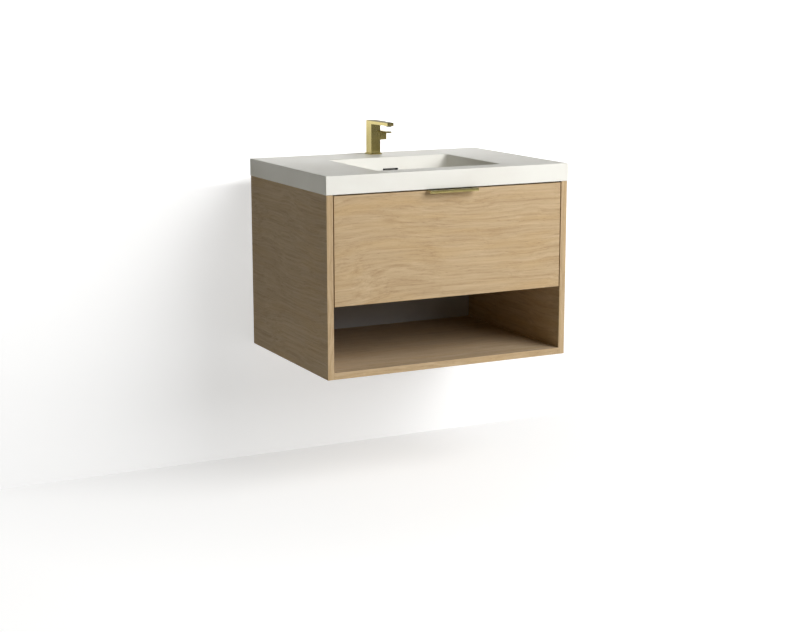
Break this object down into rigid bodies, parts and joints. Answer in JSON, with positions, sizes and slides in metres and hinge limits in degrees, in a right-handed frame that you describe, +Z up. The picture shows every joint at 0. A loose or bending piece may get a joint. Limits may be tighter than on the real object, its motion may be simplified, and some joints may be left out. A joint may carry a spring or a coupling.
{
  "type": "floating vanity",
  "caption": "Wall-hung oak vanity with an inset full-width drawer over an open shelf, a white cast top with a moulded rectangular basin and a square gold single-lever tap.",
  "frame": {"origin": "on the back face that meets the wall, in the middle of the four wall fixings", "axes": "+X to the viewer's right across the width, +Y into the wall, +Z up"},
  "size_m": [0.762, 0.596, 0.661],
  "materials": {
    "oak": "satin oak veneer",
    "plywood": "clear lacquered ply",
    "beech": "bare beech",
    "grey_board": "grey laminate",
    "cast_white": "satin white cast surface",
    "brushed_gold": "brushed gold",
    "steel": "zinc-plated",
    "black_plastic": "matt black",
    "white_plastic": "white moulded",
    "drawer_board": "white laminate",
    "black_rubber": "soft black",
    "clear_bumper": "soft translucent",
    "copper": "plain copper tube"
  },
  "bodies": {
    "cabinet": {"side_panel_left": "oak", "side_panel_right": "oak", "bottom_panel": "oak", "divider_panel": "oak", "shelf_back_panel": "grey_board", "hanging_rail_upper": "plywood", "hanging_rail_lower": "plywood", "front_stretcher": "plywood", "carcass_dowels": "beech", "top_brackets": "steel", "cabinet_screws": "steel", "drawer_bumpers": "clear_bumper", "vanity_top": "cast_white", "overflow_insert": "black_plastic", "waste_body": "brushed_gold", "waste_seal": "white_plastic", "waste_gasket": "black_rubber", "waste_nut": "steel", "trap_inlet_pipe": "white_plastic", "trap_inlet_nut": "white_plastic", "trap_head": "white_plastic", "trap_cup": "white_plastic", "trap_outlet_nut": "white_plastic", "trap_outlet_arm": "white_plastic", "wall_flange": "white_plastic", "tap_base_plate": "brushed_gold", "tap_body": "brushed_gold", "tap_aerator": "steel", "tap_cartridge": "white_plastic", "tap_shank": "steel", "tap_washer": "black_rubber", "tap_nut": "steel", "tap_tail_hot": "copper", "tap_tail_cold": "copper", "cabinet_runner_left": "steel", "cabinet_runner_right": "steel"},
    "drawer": {"drawer_front": "oak", "drawer_pull": "brushed_gold", "pull_screws": "brushed_gold", "drawer_side_left": "plywood", "drawer_side_right": "plywood", "drawer_inner_front": "plywood", "drawer_back_left": "plywood", "drawer_back_right": "plywood", "cutout_wall_left": "plywood", "cutout_wall_right": "plywood", "cutout_wall_front": "plywood", "drawer_bottom": "drawer_board", "drawer_screws": "steel", "drawer_runner_left": "steel", "drawer_runner_right": "steel"},
    "middle_runner_left": {"middle_runner_left": "steel"},
    "middle_runner_right": {"middle_runner_right": "steel"},
    "outer_cages": {"outer_ball_cages": "steel"},
    "inner_cages": {"inner_ball_cages": "steel"},
    "tap_turn": {"cartridge_carrier": "black_plastic"},
    "tap_lever_body": {"tap_stem": "steel", "tap_handle": "brushed_gold", "tap_lever": "brushed_gold"},
    "plug": {"waste_plug": "brushed_gold"}
  },
  "joints": [
    {"name": "drawer_slide", "type": "slide", "parent": "cabinet", "child": "drawer", "axis": [0, -1, 0], "range_m": [0, 0.4]},
    {"name": "middle_left_slide", "type": "slide", "parent": "cabinet", "child": "middle_runner_left", "axis": [0, -1, 0], "range_m": [0, 0.2]},
    {"name": "middle_right_slide", "type": "slide", "parent": "cabinet", "child": "middle_runner_right", "axis": [0, -1, 0], "range_m": [0, 0.2]},
    {"name": "outer_cages_slide", "type": "slide", "parent": "cabinet", "child": "outer_cages", "axis": [0, -1, 0], "range_m": [0, 0.1]},
    {"name": "inner_cages_slide", "type": "slide", "parent": "cabinet", "child": "inner_cages", "axis": [0, -1, 0], "range_m": [0, 0.3]},
    {"name": "handle_turn", "type": "hinge", "parent": "cabinet", "child": "tap_turn", "pos_m": [0.0095, -0.05, 0.257], "axis": [1, 0, 0], "range_deg": [-45, 45]},
    {"name": "handle_lift", "type": "hinge", "parent": "tap_turn", "child": "tap_lever_body", "pos_m": [0.0095, -0.05, 0.257], "axis": [0, -1, 0], "range_deg": [0, 8]},
    {"name": "plug_lift", "type": "slide", "parent": "cabinet", "child": "plug", "axis": [0, 0, 1], "range_m": [0, 0.008]}
  ],
  "couplings": [
    {"joint": "middle_left_slide", "follows": "drawer_slide", "ratio": 0.5},
    {"joint": "middle_right_slide", "follows": "drawer_slide", "ratio": 0.5},
    {"joint": "outer_cages_slide", "follows": "drawer_slide", "ratio": 0.25},
    {"joint": "inner_cages_slide", "follows": "drawer_slide", "ratio": 0.75}
  ]
}
